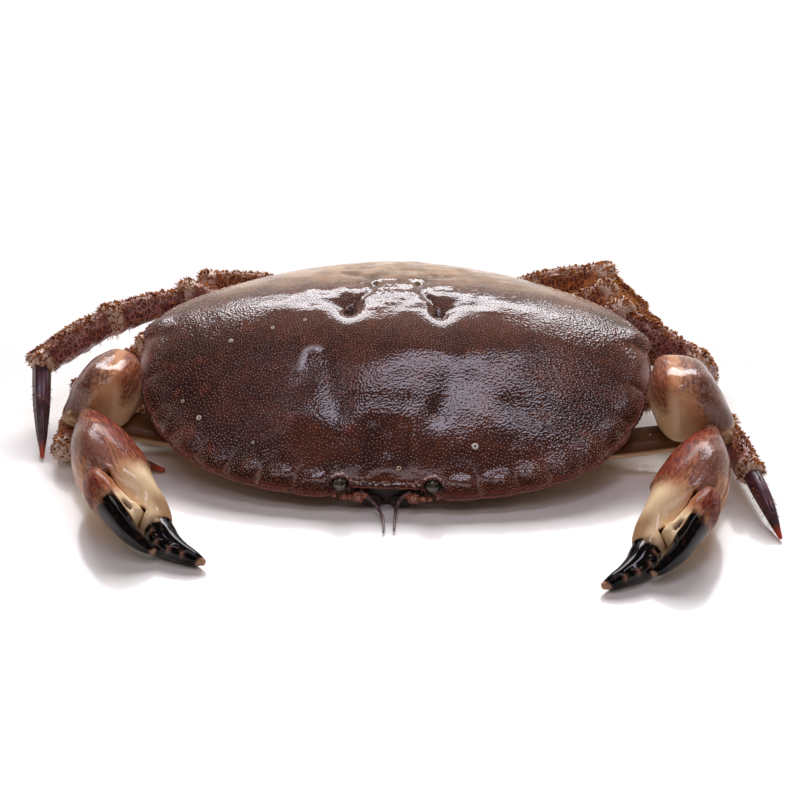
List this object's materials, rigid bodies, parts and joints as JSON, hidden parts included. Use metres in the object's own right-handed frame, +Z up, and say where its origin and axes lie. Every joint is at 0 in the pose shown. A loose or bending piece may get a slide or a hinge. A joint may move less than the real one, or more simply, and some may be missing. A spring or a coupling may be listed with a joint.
{
  "type": "brown crab",
  "caption": "Whole brown crab lying on its belly: a broad back shell with a lobed edge, two stout claws and the walking legs folded in close.",
  "frame": {"origin": "centre of the crab's footprint box, on the ground it lies on", "axes": "+Z up, the crab faces -Y, its own left side is at +X"},
  "size_m": [0.264, 0.1688, 0.0474],
  "materials": {
    "back_shell": "wet gloss, dark brown with pale granules",
    "claw_shell": "wet gloss, orange brown and cream with black finger ends",
    "leg_shell": "wet satin, purple brown with dark bars and bristles",
    "belly_shell": "satin, cream",
    "eye": "glassy, dark grey green"
  },
  "bodies": {
    "root": {"apron": "belly_shell", "belly": "belly_shell", "carapace": "back_shell", "left_antenna": "leg_shell", "left_claw_arm": "claw_shell", "left_claw_finger": "claw_shell", "left_claw_palm": "claw_shell", "left_claw_wrist": "claw_shell", "left_eye": "eye", "left_leg_1_knee": "leg_shell", "left_leg_1_shin": "leg_shell", "left_leg_1_thigh": "leg_shell", "left_leg_1_toe": "leg_shell", "left_leg_2_knee": "leg_shell", "left_leg_2_shin": "leg_shell", "left_leg_2_thigh": "leg_shell", "left_leg_2_toe": "leg_shell", "left_leg_3_knee": "leg_shell", "left_leg_3_shin": "leg_shell", "left_leg_3_thigh": "leg_shell", "left_leg_3_toe": "leg_shell", "left_leg_4_knee": "leg_shell", "left_leg_4_shin": "leg_shell", "left_leg_4_thigh": "leg_shell", "left_leg_4_toe": "leg_shell", "left_mouth_plate": "belly_shell", "right_antenna": "leg_shell", "right_claw_arm": "claw_shell", "right_claw_finger": "claw_shell", "right_claw_palm": "claw_shell", "right_claw_wrist": "claw_shell", "right_eye": "eye", "right_leg_1_knee": "leg_shell", "right_leg_1_shin": "leg_shell", "right_leg_1_thigh": "leg_shell", "right_leg_1_toe": "leg_shell", "right_leg_2_knee": "leg_shell", "right_leg_2_shin": "leg_shell", "right_leg_2_thigh": "leg_shell", "right_leg_2_toe": "leg_shell", "right_leg_3_knee": "leg_shell", "right_leg_3_shin": "leg_shell", "right_leg_3_thigh": "leg_shell", "right_leg_3_toe": "leg_shell", "right_leg_4_knee": "leg_shell", "right_leg_4_shin": "leg_shell", "right_leg_4_thigh": "leg_shell", "right_leg_4_toe": "leg_shell", "right_mouth_plate": "belly_shell"}
  },
  "joints": []
}
